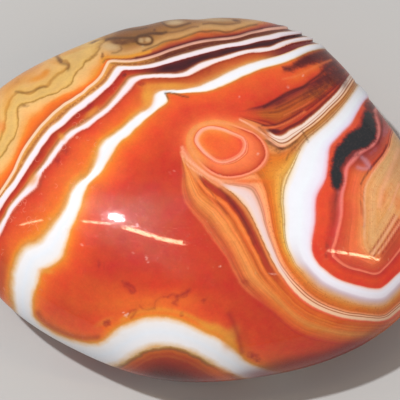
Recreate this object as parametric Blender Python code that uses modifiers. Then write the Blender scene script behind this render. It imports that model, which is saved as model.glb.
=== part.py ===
"""A polished lace agate: one smooth palm stone of banded agate.

Metres, +Z up. X runs along the stone and Y across it. The origin is the middle
of the stone's outline on the ground, at the level of the flat it rests on.
"""
import math

import bmesh
import bpy
from mathutils import Vector

# Widest outline seen from above: radii from the middle, every 22.5 degrees from +X
RIM_RADII = (
    0.0298, 0.0265, 0.0260, 0.0255,
    0.0242, 0.0245, 0.0264, 0.0302,
    0.0307, 0.0285, 0.0255, 0.0241,
    0.0239, 0.0249, 0.0280, 0.0310,
)

# Thickness and how full the shoulders are
HALF_THICKNESS = 0.0126
CROWN_LIFT = 0.0010
SHOULDER_FULLNESS = 0.045

# The crown leans a little towards one end
CROWN_LEAN_X = 0.0008
CROWN_LEAN_Y = -0.0004

# Height of the slice polished off below, where the stone rests
BASE_CUT = 0.0005

# Mesh fineness
CAGE_CUTS = 4
SMOOTH_LEVELS = 2
FITTING_ROUNDS = 4

AGATE_COLOUR = (0.60, 0.085, 0.022, 1.0)
AGATE_ROUGHNESS = 0.12


def clear_scene():
    """Remove the objects that the scene starts with."""
    for obj in list(bpy.data.objects):
        bpy.data.objects.remove(obj, do_unlink=True)


def new_collection(name):
    """Make a collection in the scene."""
    collection = bpy.data.collections.new(name)
    bpy.context.scene.collection.children.link(collection)
    return collection


def rim_radius(angle):
    """Radius of the widest outline, a smooth closed curve through RIM_RADII."""
    count = len(RIM_RADII)
    total = 0.0
    for index, radius in enumerate(RIM_RADII):
        half_turn = (angle - math.tau * index / count) / 2
        if abs(math.sin(half_turn)) < 1e-9:
            return radius
        total += radius * math.sin(count * half_turn) / (count * math.tan(half_turn))
    return total


def stone_point(direction):
    """Point of the stone's surface in a direction from its middle."""
    angle = math.atan2(direction.y, direction.x)
    latitude = math.asin(max(-1.0, min(1.0, direction.z)))
    fullness = 1 + SHOULDER_FULLNESS * math.sin(2 * latitude) ** 2
    out = fullness * math.cos(latitude) * rim_radius(angle)
    up = fullness * math.sin(latitude)
    return Vector((
        out * math.cos(angle) + CROWN_LEAN_X * up * abs(up),
        out * math.sin(angle) + CROWN_LEAN_Y * up * abs(up),
        HALF_THICKNESS * up + CROWN_LIFT * up * up,
    ))


def smoothed_place(vertex):
    """Where Subdivision Surface finally puts a vertex of the cage."""
    sides = len(vertex.link_edges)
    total = sides * sides * vertex.co
    for edge in vertex.link_edges:
        total = total + 4 * edge.other_vert(vertex).co
    for face in vertex.link_faces:
        near = {edge.other_vert(vertex) for edge in vertex.link_edges}
        for corner in face.verts:
            if corner is not vertex and corner not in near:
                total = total + corner.co
    return total / (sides * (sides + 5))


def make_stone(collection, material):
    """Make the stone from a coarse cage, smoothed and rested on a flat."""
    cage = bmesh.new()
    bmesh.ops.create_cube(cage, size=2)
    bmesh.ops.subdivide_edges(cage, edges=cage.edges[:], cuts=CAGE_CUTS, use_grid_fill=True)
    targets = {}
    for vertex in cage.verts:
        even = [math.tan(value * math.pi / 4) for value in vertex.co]
        targets[vertex] = stone_point(Vector(even).normalized())
        vertex.co = targets[vertex]

    # The cage swells until the smoothed surface passes through the stone's points
    for _ in range(FITTING_ROUNDS):
        moves = {vertex: targets[vertex] - smoothed_place(vertex) for vertex in cage.verts}
        for vertex, move in moves.items():
            vertex.co += move

    middle_x = (max(p.x for p in targets.values()) + min(p.x for p in targets.values())) / 2
    middle_y = (max(p.y for p in targets.values()) + min(p.y for p in targets.values())) / 2
    floor_z = min(p.z for p in targets.values()) + BASE_CUT
    bmesh.ops.translate(cage, verts=cage.verts, vec=(-middle_x, -middle_y, -floor_z))

    mesh = bpy.data.meshes.new("agate_stone")
    cage.to_mesh(mesh)
    cage.free()
    mesh.shade_smooth()
    mesh.materials.append(material)
    stone = bpy.data.objects.new("agate_stone", mesh)
    collection.objects.link(stone)
    smooth = stone.modifiers.new("smooth", "SUBSURF")
    smooth.levels = SMOOTH_LEVELS
    smooth.render_levels = SMOOTH_LEVELS
    return stone


def make_base_cutter(collection):
    """Make the block that takes the slice off below the resting flat."""
    block = bmesh.new()
    bmesh.ops.create_cube(block, size=1)
    bmesh.ops.scale(block, vec=(0.09, 0.09, 0.01), verts=block.verts)
    bmesh.ops.translate(block, vec=(0, 0, -0.005), verts=block.verts)
    mesh = bpy.data.meshes.new("base_cutter")
    block.to_mesh(mesh)
    block.free()
    cutter = bpy.data.objects.new("base_cutter", mesh)
    cutter.hide_render = True
    cutter.display_type = "WIRE"
    collection.objects.link(cutter)
    return cutter


def make_material(name, colour, roughness):
    """Make a plain Principled BSDF material."""
    material = bpy.data.materials.new(name)
    material.use_nodes = True
    shader = material.node_tree.nodes["Principled BSDF"]
    shader.inputs["Base Color"].default_value = colour
    shader.inputs["Roughness"].default_value = roughness
    shader.inputs["Metallic"].default_value = 0.0
    return material


def main():
    """Build the stone."""
    clear_scene()
    parts = new_collection("polished_lace_agate")
    cutters = new_collection("cutters")
    agate = make_material("polished_agate", AGATE_COLOUR, AGATE_ROUGHNESS)
    stone = make_stone(parts, agate)
    cutter = make_base_cutter(cutters)
    flat = stone.modifiers.new("resting_flat", "BOOLEAN")
    flat.operation = "DIFFERENCE"
    flat.solver = "EXACT"
    flat.object = cutter


main()
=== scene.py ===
"""Visual model of the polished lace agate: skin, bands, floor, lights and camera.

Metres, +Z up, in the part's own frame. Band outlines are given in pixels of the
400 by 400 picture, x to the right and y down, as the camera below sees the stone.
"""
import math

import bpy
import numpy as np
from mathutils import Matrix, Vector


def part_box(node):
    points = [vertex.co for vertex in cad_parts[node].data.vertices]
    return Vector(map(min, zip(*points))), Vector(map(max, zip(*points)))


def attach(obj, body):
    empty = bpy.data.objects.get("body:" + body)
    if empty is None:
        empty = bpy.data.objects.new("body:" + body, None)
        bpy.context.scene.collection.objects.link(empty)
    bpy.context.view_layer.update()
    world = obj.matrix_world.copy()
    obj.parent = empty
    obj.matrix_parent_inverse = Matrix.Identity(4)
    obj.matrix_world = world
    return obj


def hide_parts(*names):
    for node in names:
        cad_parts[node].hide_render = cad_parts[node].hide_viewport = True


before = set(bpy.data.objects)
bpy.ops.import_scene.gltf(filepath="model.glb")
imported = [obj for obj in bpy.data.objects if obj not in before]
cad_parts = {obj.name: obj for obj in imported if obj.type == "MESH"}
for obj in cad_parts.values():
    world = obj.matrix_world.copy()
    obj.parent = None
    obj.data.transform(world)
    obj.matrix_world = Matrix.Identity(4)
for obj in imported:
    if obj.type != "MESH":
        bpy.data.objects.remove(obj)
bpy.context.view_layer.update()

# Camera
PICTURE_SIZE = 400
HALF_PICTURE = PICTURE_SIZE / 2
CAMERA_ELEVATION = math.radians(70)
CAMERA_DISTANCE = 0.42
CAMERA_TARGET = (0.0007, -0.0009, 0.0125)
CAMERA_LENS = 298
SENSOR_WIDTH = 36

# Stone form, as in the part's source
RIM_RADII = (
    0.0298, 0.0265, 0.0260, 0.0255,
    0.0242, 0.0245, 0.0264, 0.0302,
    0.0307, 0.0285, 0.0255, 0.0241,
    0.0239, 0.0249, 0.0280, 0.0310,
)
HALF_THICKNESS = 0.0126
CROWN_LIFT = 0.0010
SHOULDER_FULLNESS = 0.045
CROWN_LEAN_X = 0.0008
CROWN_LEAN_Y = -0.0004

# Skin mesh: pixels between vertices on the seen side, and how much less fine it is behind
SKIN_STEP = 1.5
HIDDEN_FINENESS = 0.42
HIDDEN_START = math.radians(95)
HIDDEN_FULL = math.radians(117)
MEAN_RADIUS_PIXELS = 209
DEPTH_PIXELS = 74
PROFILE_SAMPLES = 4001
FEWEST_AROUND = 6
# Middle of the skin's rings, towards the camera
FACING_POLE = (0.0, -0.186, 0.9825)
# For normals: a small step in direction, and a direction that no vertex has
NORMAL_STEP = 0.0002
ODD_DIRECTION = (0.31, 0.93, 0.2)

# How the pattern turns, in radians, and drifts, in pixels, behind the outline
TURN_BEHIND = 0.9
DRIFT_BEHIND = (60, -25)
WAVE_BEHIND = 16
WAVE_LENGTH_BEHIND = 0.009

# Curves and bands, in pixels
CURVE_STEP = 1.6
STRAIGHT_REACH = 300
STRAIGHT_STEP = 6
END_BAND_WIDTH = 10
SMALLEST_GAP = 0.05
# How many half widths a fine line's fading edge reaches
STROKE_REACH = 4
# How many vertices are measured against a curve in one go
PLACES_AT_ONCE = 8000

# Lamp: the pixel that its reflection shows at, then metres and watts
LAMP_PIXEL = (115, 217)
LAMP_DISTANCE = 0.8
LAMP_SIZE = 0.026
LAMP_ENERGY = 4.6
LAMP_COLOUR = (0.95, 0.98, 1.0)
# Least facing of a surface that a reflection is looked for on
GRAZING = 0.05

# Warm strips: the pixels that each reflection runs between, width in metres and radiance
STRIP_DISTANCE = 0.45
STRIP_COLOUR = (1.0, 0.72, 0.43)
STRIPS = {
    "long_strip_start": ((82, 221), (110, 224.5), 0.007, 22),
    "long_strip_end": ((123, 226.5), (185, 243), 0.013, 24),
    "left_strip": ((20, 225.5), (42, 220), 0.005, 16),
    "right_strip": ((328, 250), (380, 260), 0.012, 22),
}

# Surround and floor
SURROUND_COLOUR = (0.95, 0.97, 1.0, 1)
SURROUND_STRENGTH = 0.38
FLOOR_REACH = 4
FLOOR_COLOUR = (0.50, 0.49, 0.48, 1)
FLOOR_ROUGHNESS = 0.7

# Polish: shader values, the roughness of dull and glossy spots, and bumps in metres
POLISH = {
    "Specular IOR Level": 0.025,
    "IOR": 1.54,
    "Coat Weight": 0.26,
    "Coat Roughness": 0.045,
    "Coat IOR": 2.4,
}
DULL_ROUGHNESS = 0.3
GLOSSY_ROUGHNESS = 0.13
BUMP_STRENGTH = 0.8
SWELL_HEIGHT = 0.00001
SPECK_HEIGHT = 0.000018

# Noises: scale, detail and roughness
NOISES = {
    "waver": (700, 4.0, 0.6),
    "ragged": (1500, 4.0, 0.7),
    "speckle": (3000, 2.0, 0.6),
    "threads": (1.0, 2.0, 0.5),
    "cloud": (190, 4.0, 0.6),
    "mottle": (900, 4.0, 0.65),
    "grain": (3800, 2.0, 0.6),
    "tint": (420, 5.0, 0.65),
    "curl_clumps": (600, 1.0, 0.5),
    "gloss": (4000, 3.0, 0.7),
    "swell": (500, 1.0, 0.5),
    "pits": (3400, 1.0, 0.5),
    "worn": (2600, 2.0, 0.5),
    "specks": (5400, 2.0, 0.5),
}
# Threads: noise lengths for each band and for each pixel along it
THREAD_RATE = 22.0
THREAD_DRIFT = 0.02
# Small curled marks: cells for each metre, radius in cells and strength
CURL_SCALE = 1150
CURL_RADIUS = 0.36
CURL_STRENGTH = 0.25

# Stretches of a band number: where each starts, is full, fades and ends
STRETCHES = {
    "first_gap": (3.1, 3.2, 3.9, 4.0),
    "last_gap": (7.0, 7.1, 7.85, 8.0),
    "curls": (3.0, 3.4, 8.5, 10.5),
    "wedge": (0.5, 0.62, 1.0, 1.1),
    "bundle": (0.9, 0.95, 2.1, 2.2),
    "gold": (2.0, 2.1, 2.9, 3.0),
}

# Regions of the picture, by their soft edges: shares of x and y, start and full
REGIONS = {
    "past_kink": ((1, 0, 106, 140), (0, 1, 120, 90)),
    "upper_arm": ((1, 0, 122, 168), (0, 1, 150, 110)),
    "top_tan": ((1, 0, 92, 120), (0, 1, 120, 90)),
    "far_right": ((1, 0, 256, 284), (0, 1, 120, 90)),
    "under_hump": ((1, 0, 60, 90), (0, 1, 335, 345)),
    "curl_side": ((1, 0, 130, 90),),
    "upper_stripes": ((-0.12, 1, 126.4, 104.4),),
    "corner_stripes": ((1, 1, 525, 590),),
    "upper_core": ((-0.5, 1, 2.5, -27.5),),
    "left_of_eye": ((1, 0, 258, 238), (0.55, 1, 262.5, 244.5)),
    "over_eye": ((1, 0, 268, 250), (-0.2, 1, 72, 65)),
    "above_eye": ((1, 0, 276, 264), (0, 1, 141, 138)),
    "below_eye": ((1, 0, 234, 216), (0, 1, 138, 144)),
    "wedge_tip": ((1, 1, 388, 366), (0, 1, 140, 146)),
    "eye_lit": ((0.75, 0.65, 247.4, 271.4),),
}
OUTER_RELIEF_EDGES = ((1, 0, 268, 282), (0, 1, 62, 50))
INNER_RELIEF_EDGES = ((1, 0, 335, 349), (0, 1, 112, 100))

# Plain paints, as red, green and blue from 0 to 255
DARK_GAP = (124, 42, 40)
GAP_SPECKS = (238, 164, 88)
PEACH_ON_LEFT = (248, 206, 170)
PEACH_ABOVE = (232, 172, 150)
GOLD_SPECKS = (178, 96, 38)
CORE_SPECKS = (206, 112, 58)
ABOVE_EYE = (226, 128, 70)
WEDGE_TIP = (225, 135, 74)
BELOW_EYE = (234, 142, 92)
BLACK_RIM = (112, 38, 36)
BLACK = (38, 38, 41)
BLACK_SPECKS = (50, 46, 47)
CURLS = (250, 170, 140)

# Outer bands, from the outer edge inwards, each from upper right to lower left
TAN_CONTOUR_OUTER = (
    (56, 45), (57, 53), (59, 58), (63, 61), (68, 63), (69, 66), (66, 70), (55, 77), (52, 80), (48, 86),
    (38, 89), (35, 92), (30, 94), (25, 93.5), (18, 92), (13, 96), (9, 104), (6, 115), (5, 123), (3, 133),
    (-3, 145), (-12, 160),
)
TAN_CONTOUR_INNER = (
    (109, 28), (107, 36), (103, 44), (98, 51), (94, 57), (90, 60.5), (85, 63), (83, 67), (80, 70), (76, 73),
    (74, 76), (73, 80), (72, 84), (68, 87), (63, 89), (57, 93.5), (50, 95.5), (38, 99), (31, 102),
    (24, 104), (18, 107), (16, 113), (17.5, 120), (13, 139), (9, 144), (6, 150), (0, 157), (-6, 163),
)
ORANGE_BAND_EDGE = (
    (262, 22), (250, 26), (240, 28.5), (232, 30.3), (222, 31), (212, 30), (203, 30.5), (195, 33),
    (190, 35.5), (170, 41), (163, 43.5), (157, 47), (140, 53), (128, 56), (118, 57), (110, 57), (107.5, 56),
    (104.5, 59), (102, 63.5), (98.5, 69), (94.5, 75.5), (89, 81.5), (71, 92), (60, 96.5), (52, 101),
    (38, 113.5), (30, 119.5), (26, 128), (18, 147), (14, 157), (0, 176), (-8, 186),
)
PEACH_LINE = (
    (287, 27.5), (280, 28), (270, 29), (260, 30.8), (250, 32.8), (240, 36), (230, 38), (210, 40), (190, 44),
    (180, 47), (170, 50), (160, 54), (140, 59.5), (130, 61), (120, 61), (112, 60.8), (108.5, 62),
    (106.5, 65.5), (101.5, 75), (93, 84), (88, 87.7), (83, 92.7), (77, 96.5), (72, 100), (65, 104),
    (60, 108), (55, 112), (46, 121), (42, 125), (34, 135), (22, 153), (17, 164), (14.5, 170), (11, 176),
    (6, 184), (0, 193),
)
SECOND_WHITE_OUTER = (
    (297, 31), (290, 31.5), (280, 32.5), (270, 35), (250, 39.3), (240, 42), (220, 45.3), (200, 50),
    (190, 53), (180, 55.5), (160, 62), (140, 66), (130, 66.3), (122, 66), (117, 66.5), (114, 70), (111, 75),
    (103, 85), (98, 89), (93, 93), (87, 97), (81, 102), (74, 107), (66, 114), (60, 120), (52, 126),
    (33, 150), (18, 174), (13, 182), (6, 190), (0, 198),
)
SECOND_WHITE_INNER = (
    (300, 34), (290, 35.2), (270, 40), (260, 41.3), (250, 44), (240, 46), (230, 47.2), (210, 52),
    (190, 57.2), (170, 63), (150, 68), (130, 70), (124, 70), (118, 76.5), (110, 86), (104, 91), (93, 101),
    (86, 107), (78, 112), (70, 119), (63, 126), (56, 131), (51, 135), (47, 141), (42, 147), (38, 154),
    (33, 161), (24, 175), (20, 181), (15, 189), (10, 195), (5, 203), (0, 211),
)
THIRD_WHITE_OUTER = (
    (310, 36.5), (300, 37.5), (280, 42.5), (270, 47), (260, 48), (240, 51.5), (220, 57.5), (210, 60),
    (200, 63.5), (190, 69), (185, 72), (180, 73.7), (170, 74), (150, 74.5), (133, 77), (129, 79), (126, 83),
    (122, 88), (118, 94), (113, 100), (108, 105.5), (96, 115), (80, 126), (72, 130), (52, 152), (44, 164),
    (31, 180), (26, 187), (14, 201), (8, 209), (5, 216), (0, 224),
)
THIRD_WHITE_INNER = (
    (312, 40), (300, 41.3), (290, 43.5), (280, 48), (260, 52.5), (250, 53), (240, 55.5), (230, 58.5),
    (220, 61.5), (200, 70.5), (190, 75.5), (170, 77.8), (150, 78), (138, 81), (132, 88), (124, 96),
    (104, 115.5), (99, 119), (93, 124), (88, 128), (81, 130.5), (76, 134), (60, 150), (51, 163), (42, 173),
    (40, 178), (38.5, 183), (35, 189), (29, 194), (16, 206), (12, 212), (8, 219), (5, 226), (0, 236),
    (-8, 258), (-14, 285), (-12, 315), (5, 345), (40, 372), (90, 392), (150, 400), (220, 402), (300, 400),
)
FOURTH_WHITE_OUTER = (
    (316, 43.7), (310, 44.5), (300, 47.5), (290, 52), (280, 55.5), (260, 60.5), (240, 67), (210, 81.5),
    (200, 86), (190, 88.5), (180, 90), (170, 90.3), (157, 92.5), (153.5, 96), (152.5, 101), (151, 105),
    (147, 109), (140, 113), (128.5, 121.5), (123, 126.5), (117, 131), (110, 136), (104, 139.5), (100, 144),
    (95.5, 158), (94, 165), (91, 171), (86, 176.5), (75, 185), (71.5, 190), (66.5, 203), (59, 216),
    (55, 221), (51, 227), (46, 232), (42, 237), (36, 241), (23, 246.5), (16, 259), (11, 290), (12, 297),
    (17, 320), (38, 345), (68, 360), (95, 368), (112, 368), (127, 361.5), (133, 358), (139, 354),
    (152, 348.5), (168, 347.5), (184, 350.5), (198, 356.5), (212, 365), (226, 372.5), (240, 378),
    (250, 381),
)
FOURTH_WHITE_INNER = (
    (325, 49), (320, 49.3), (310, 51.5), (300, 56), (280, 64), (270, 66.5), (260, 69.5), (240, 78),
    (220, 87), (210, 90.5), (190, 92.5), (172, 93), (166.5, 92.8), (166, 94), (167.5, 98), (168, 101),
    (165, 104.5), (160, 108), (150, 116), (145, 120), (140, 125), (135, 129), (130, 135), (120, 142),
    (117, 146), (114, 152), (106, 165), (99, 175), (94, 179), (89, 184), (86, 190), (83, 198), (81.5, 205),
    (79, 212), (76, 220), (70, 232), (68, 240), (66, 247), (63, 257), (58, 262), (52, 266), (46, 269),
    (42, 272), (40, 277), (38.5, 283), (36, 289), (34, 295), (33, 308), (34, 315), (42, 324.5), (49, 329),
    (63, 336.5), (71, 339), (90, 343), (98, 342.5), (104, 339.5), (108, 335.5), (119, 327), (134, 320.5),
    (142, 318), (178, 319.5), (193, 326), (205, 331.8), (212.5, 335), (227, 343.3), (234, 348.5),
    (239.5, 354), (244, 359), (265, 368.5), (275, 371), (285, 372.5),
)

# Inner bands round the right-hand side, from the outside inwards, upper right to lower right
STRIPES_OUTER = (
    (360, 60), (345, 68), (330, 74), (310, 83), (290, 92), (276, 99), (262, 105), (245, 110), (225, 113.5),
    (205, 116.5), (191, 122), (181, 132), (178, 145), (181, 158), (182, 170), (181.5, 182), (182, 194),
    (185, 203), (191, 212), (200, 222), (209, 235), (218, 247), (226, 258), (233, 272), (240, 285),
    (250, 295), (262, 305), (275, 316), (289, 328), (300, 335), (320, 341), (345, 345), (365, 345),
)
BUNDLE_OUTER = (
    (348, 77), (343, 84), (338, 91.5), (330, 100), (308, 120), (302, 124.8), (296, 128), (290, 130.8),
    (286, 134), (281, 136.3), (276, 136), (264, 128), (252, 122.5), (245, 119.5), (240, 117.5), (230, 116),
    (208, 117), (198, 120), (182, 134.5), (178.5, 144), (179, 150), (190, 163), (200, 171.3), (210, 178.8),
    (216, 182), (226, 188), (237, 196), (243, 203), (248, 209), (252, 216), (265, 244), (270, 254),
    (274.5, 263.5), (287, 282.5), (301, 298), (336, 315.8), (366, 320.5), (383, 320.5), (389, 318.5),
    (394, 314.5), (400, 309.5),
)
BUNDLE_INNER = (
    (355, 79), (351.5, 85), (342, 98.5), (331, 109.2), (321, 119.2), (311, 127.2), (306, 130.5),
    (296, 139.5), (287, 145.3), (282, 146.3), (277, 145), (273, 141.5), (265, 136), (256, 129.5),
    (246, 123.5), (240, 120.5), (230, 118.5), (208, 119.3), (199, 122), (185, 136), (182, 144), (187, 155),
    (196, 163.8), (210, 175.8), (216, 179), (222, 181.8), (229, 183.5), (238, 184), (247, 184.5),
    (254, 187.5), (258, 193), (263, 207), (265, 215), (267, 225), (273.5, 245), (282.5, 265.5),
    (287.5, 272.3), (292.5, 278.7), (299.5, 286), (307.5, 293.6), (324, 304.2), (340, 310), (350, 312.5),
    (360, 313.5), (370, 315), (386, 314.3), (391, 310.5), (396, 306), (400, 302.5),
)
FIFTH_WHITE_OUTER = (
    (359, 84), (354, 92), (330.5, 121), (315.5, 134), (307.5, 141), (300, 153), (297, 161), (291, 177),
    (288, 184), (285, 200), (285.5, 210), (286, 220), (286, 230), (289, 248), (293, 256), (297, 264),
    (303, 270), (310, 278), (318, 286), (327, 291), (337, 295.5), (368, 305), (378, 305.5), (385, 304),
    (395, 295.5), (400, 290),
)
FIFTH_WHITE_INNER = (
    (369, 97), (364, 102), (357, 113), (350, 125), (345, 129.5), (335, 140.5), (331, 145), (329, 151),
    (328.5, 160), (327.5, 168), (326, 177), (323, 184), (316, 198), (315.5, 206), (315.5, 215), (313, 235),
    (312, 243), (312.5, 251), (320, 265), (326, 270), (333, 275.5), (362, 286), (372, 288), (380, 288),
    (385, 285), (396, 275), (400, 271.5),
)
PINK_LINE = (
    (377, 107), (374, 112.5), (376, 118), (378, 123), (379, 134), (373, 145), (367, 148.5), (361, 152),
    (353, 161), (349, 165), (346.5, 170), (346, 177), (345, 184), (343, 191), (341, 216), (339.5, 225),
    (337, 234), (334.5, 243), (332, 250), (333, 256), (337, 260), (350, 268), (358, 270), (366, 272),
    (375, 274), (379, 273), (384, 268.5), (395, 256), (400, 249.5),
)
CORE_EDGE = (
    (398, 124), (393, 132), (388.5, 148.5), (379, 163), (369, 178), (365, 186), (363.5, 205), (363.5, 225),
    (363, 235), (364, 245), (368, 252), (373, 255), (380, 247), (387, 236), (393, 226), (400, 214),
)

OUTER_CURVES = (
    TAN_CONTOUR_OUTER, TAN_CONTOUR_INNER, ORANGE_BAND_EDGE, PEACH_LINE, SECOND_WHITE_OUTER,
    SECOND_WHITE_INNER, THIRD_WHITE_OUTER, THIRD_WHITE_INNER, FOURTH_WHITE_OUTER, FOURTH_WHITE_INNER,
)
INNER_CURVES = (
    STRIPES_OUTER, BUNDLE_OUTER, BUNDLE_INNER, FIFTH_WHITE_OUTER, FIFTH_WHITE_INNER, PINK_LINE, CORE_EDGE,
)

# Low relief at the upper right, where the hard white bands stand proud: band number, then metres
OUTER_RELIEF = (
    (2.7, 0.0), (2.9, 0.00012), (3.05, 0.00012), (3.15, -0.00012), (3.8, -0.00012), (4.1, 5e-05),
    (4.9, 0.00024), (5.02, 0.0002), (5.12, -0.00016), (5.8, -0.00016), (6.1, 8e-05), (6.9, 0.00027),
    (7.02, 0.00022), (7.12, -0.00016), (7.85, -0.00012), (8.15, 0.0001), (8.7, 0.00022), (9.2, 5e-05),
    (9.8, 0.0),
)
INNER_RELIEF = (
    (1.9, 0.0), (2.4, -0.0001), (2.9, -0.0001), (3.15, 0.00015), (3.7, 0.00022), (3.95, 0.00012),
    (4.1, -6e-05), (4.5, 0.0),
)

# Shallow hollows along the top edge: x, y and radius in pixels, depth in metres
HOLLOWS = ((146, 25, 15, 0.0002), (198, 19, 13, 0.0002))

# Outline of the black patch, clockwise from its top
BLACK_PATCH = (
    (366, 112), (371, 113), (374, 120), (375.5, 128), (375.5, 135), (367, 146.5), (360, 149), (352, 151.5),
    (349, 156), (341.5, 167), (341, 175), (341, 183), (338.5, 189), (334, 187), (331.5, 180), (331.5, 172),
    (333, 165), (336, 151), (345, 139), (349, 134), (355, 131), (360, 127), (363, 121), (364, 115),
)

# Rings of the eye, from the outside inwards, clockwise from the left
EYE_RINGS = (
    ((186, 141), (188, 133), (194, 126), (203, 122), (213, 120), (246, 128), (254, 131.5), (266, 143),
     (269, 150), (269, 157), (266, 164), (252, 174.5), (233, 179.5), (222, 179), (212, 175.5), (203, 169),
     (189, 152)),
    ((190, 141), (192, 134), (198, 128), (206, 125), (215, 123.5), (246, 131), (253, 134), (263, 145),
     (265, 151), (264.5, 157), (261, 163), (249, 172), (241, 174.5), (223, 175.5), (198, 158), (192, 149)),
    ((194.5, 140), (200, 129.5), (211, 126), (218, 127), (225, 129), (232, 132), (238, 134.5), (243, 137),
     (246, 141.5), (243.5, 153), (238.5, 157.5), (219, 163), (207, 156), (201.5, 151)),
    ((200, 140), (205, 132), (218, 131), (231, 135.5), (236, 137.5), (240.5, 140), (242, 143.5), (239, 152),
     (235, 155), (219, 159), (208, 151.5), (203, 146.5)),
)

# Colours from the outer edge to the main field, left arm: band number, then red, green, blue
LEFT_ARM_COLOURS = (
    (-3.0, (206, 124, 70)), (-2.2, (224, 150, 84)), (-1.4, (234, 174, 102)), (-0.7, (234, 180, 104)),
    (-0.25, (234, 180, 98)), (-0.12, (214, 154, 70)), (0.0, (196, 142, 66)), (0.06, (208, 154, 76)),
    (0.14, (230, 182, 102)), (0.5, (224, 178, 104)), (0.82, (232, 184, 104)), (0.93, (214, 162, 82)),
    (1.0, (172, 124, 56)), (1.07, (206, 154, 82)), (1.16, (236, 186, 116)), (1.6, (242, 182, 110)),
    (1.85, (244, 166, 86)), (2.0, (240, 142, 56)), (2.25, (246, 122, 34)), (2.6, (234, 104, 28)),
    (2.78, (212, 96, 36)), (2.88, (190, 96, 48)), (3.0, (245, 190, 140)), (3.22, (226, 156, 78)),
    (3.45, (216, 138, 58)), (3.64, (180, 106, 46)), (3.8, (188, 116, 60)), (3.94, (216, 164, 116)),
    (4.04, (234, 204, 186)), (4.18, (247, 236, 236)), (4.5, (242, 232, 244)), (4.78, (248, 228, 230)),
    (4.9, (238, 190, 182)), (5.0, (196, 96, 74)), (5.06, (160, 42, 26)), (5.3, (184, 48, 26)),
    (5.55, (198, 64, 30)), (5.7, (200, 92, 44)), (5.84, (176, 104, 56)), (5.97, (208, 150, 110)),
    (6.1, (234, 196, 180)), (6.28, (248, 234, 234)), (6.7, (247, 228, 236)), (6.86, (240, 194, 188)),
    (6.97, (215, 120, 100)), (7.04, (190, 62, 36)), (7.14, (212, 66, 34)), (7.4, (226, 86, 38)),
    (7.7, (234, 106, 36)), (7.85, (234, 132, 40)), (7.94, (216, 138, 56)), (8.03, (226, 176, 118)),
    (8.12, (240, 214, 188)), (8.24, (246, 241, 242)), (8.5, (237, 240, 247)), (8.8, (243, 236, 234)),
    (8.92, (244, 212, 180)), (9.0, (238, 165, 90)), (9.08, (226, 142, 52)), (9.3, (240, 122, 34)),
    (9.8, (236, 98, 34)), (10.3, (228, 82, 34)), (11.0, (220, 71, 32)), (12.0, (206, 61, 28)),
    (14.0, (196, 54, 28)),
)

# The same bands along the upper arm
UPPER_ARM_COLOURS = (
    (-1.0, (170, 120, 70)), (0.0, (150, 100, 50)), (0.2, (195, 150, 92)), (0.85, (190, 145, 88)),
    (1.0, (150, 98, 48)), (1.15, (176, 126, 72)), (1.6, (196, 148, 94)), (1.86, (216, 166, 116)),
    (1.97, (196, 122, 48)), (2.15, (204, 116, 50)), (2.4, (190, 88, 44)), (2.6, (164, 64, 40)),
    (2.74, (128, 44, 34)), (2.86, (104, 34, 28)), (3.0, (228, 165, 140)), (3.15, (150, 80, 45)),
    (3.3, (110, 45, 22)), (3.6, (100, 36, 20)), (3.85, (140, 85, 55)), (4.0, (228, 205, 195)),
    (4.15, (243, 230, 234)), (4.7, (241, 228, 236)), (4.88, (236, 205, 205)), (4.98, (160, 80, 70)),
    (5.05, (100, 24, 20)), (5.25, (74, 20, 24)), (5.5, (58, 18, 24)), (5.75, (86, 26, 24)),
    (5.88, (150, 80, 50)), (5.99, (205, 160, 140)), (6.14, (244, 228, 226)), (6.5, (246, 232, 238)),
    (6.8, (246, 224, 220)), (6.95, (220, 150, 120)), (7.04, (166, 56, 24)), (7.25, (188, 78, 30)),
    (7.55, (202, 100, 44)), (7.8, (212, 130, 62)), (7.95, (216, 160, 105)), (8.03, (234, 206, 182)),
    (8.15, (245, 238, 238)), (8.5, (243, 244, 252)), (8.84, (246, 240, 238)), (8.96, (240, 196, 150)),
    (9.04, (204, 122, 52)), (9.14, (224, 106, 38)), (9.4, (230, 90, 36)), (10.3, (226, 80, 36)),
    (11.0, (220, 73, 36)), (12.0, (206, 62, 30)), (14.0, (196, 54, 28)),
)

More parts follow.
